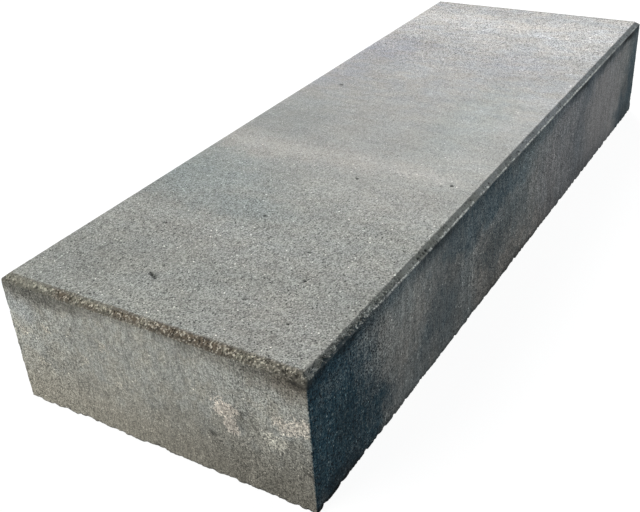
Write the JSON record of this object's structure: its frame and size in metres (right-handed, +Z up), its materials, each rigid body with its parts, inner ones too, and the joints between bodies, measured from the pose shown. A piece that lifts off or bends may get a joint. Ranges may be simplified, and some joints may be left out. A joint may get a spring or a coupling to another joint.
{
  "type": "concrete block step",
  "caption": "Solid precast concrete step unit, rectangular, with a small chamfer round the tread; laid on a bed as one rise of an outdoor stair.",
  "frame": {"origin": "middle of the underside, on the plane the step rests on", "axes": "+X along the length of the step, +Y from the riser to the back face, +Z up from the underside to the tread; the riser faces -Y"},
  "size_m": [1, 0.35, 0.15],
  "materials": {
    "concrete": "matt as-cast concrete, mottled grey, sandy chamfers, rough lower edges"
  },
  "bodies": {
    "root": {"block_step": "concrete"}
  },
  "joints": []
}
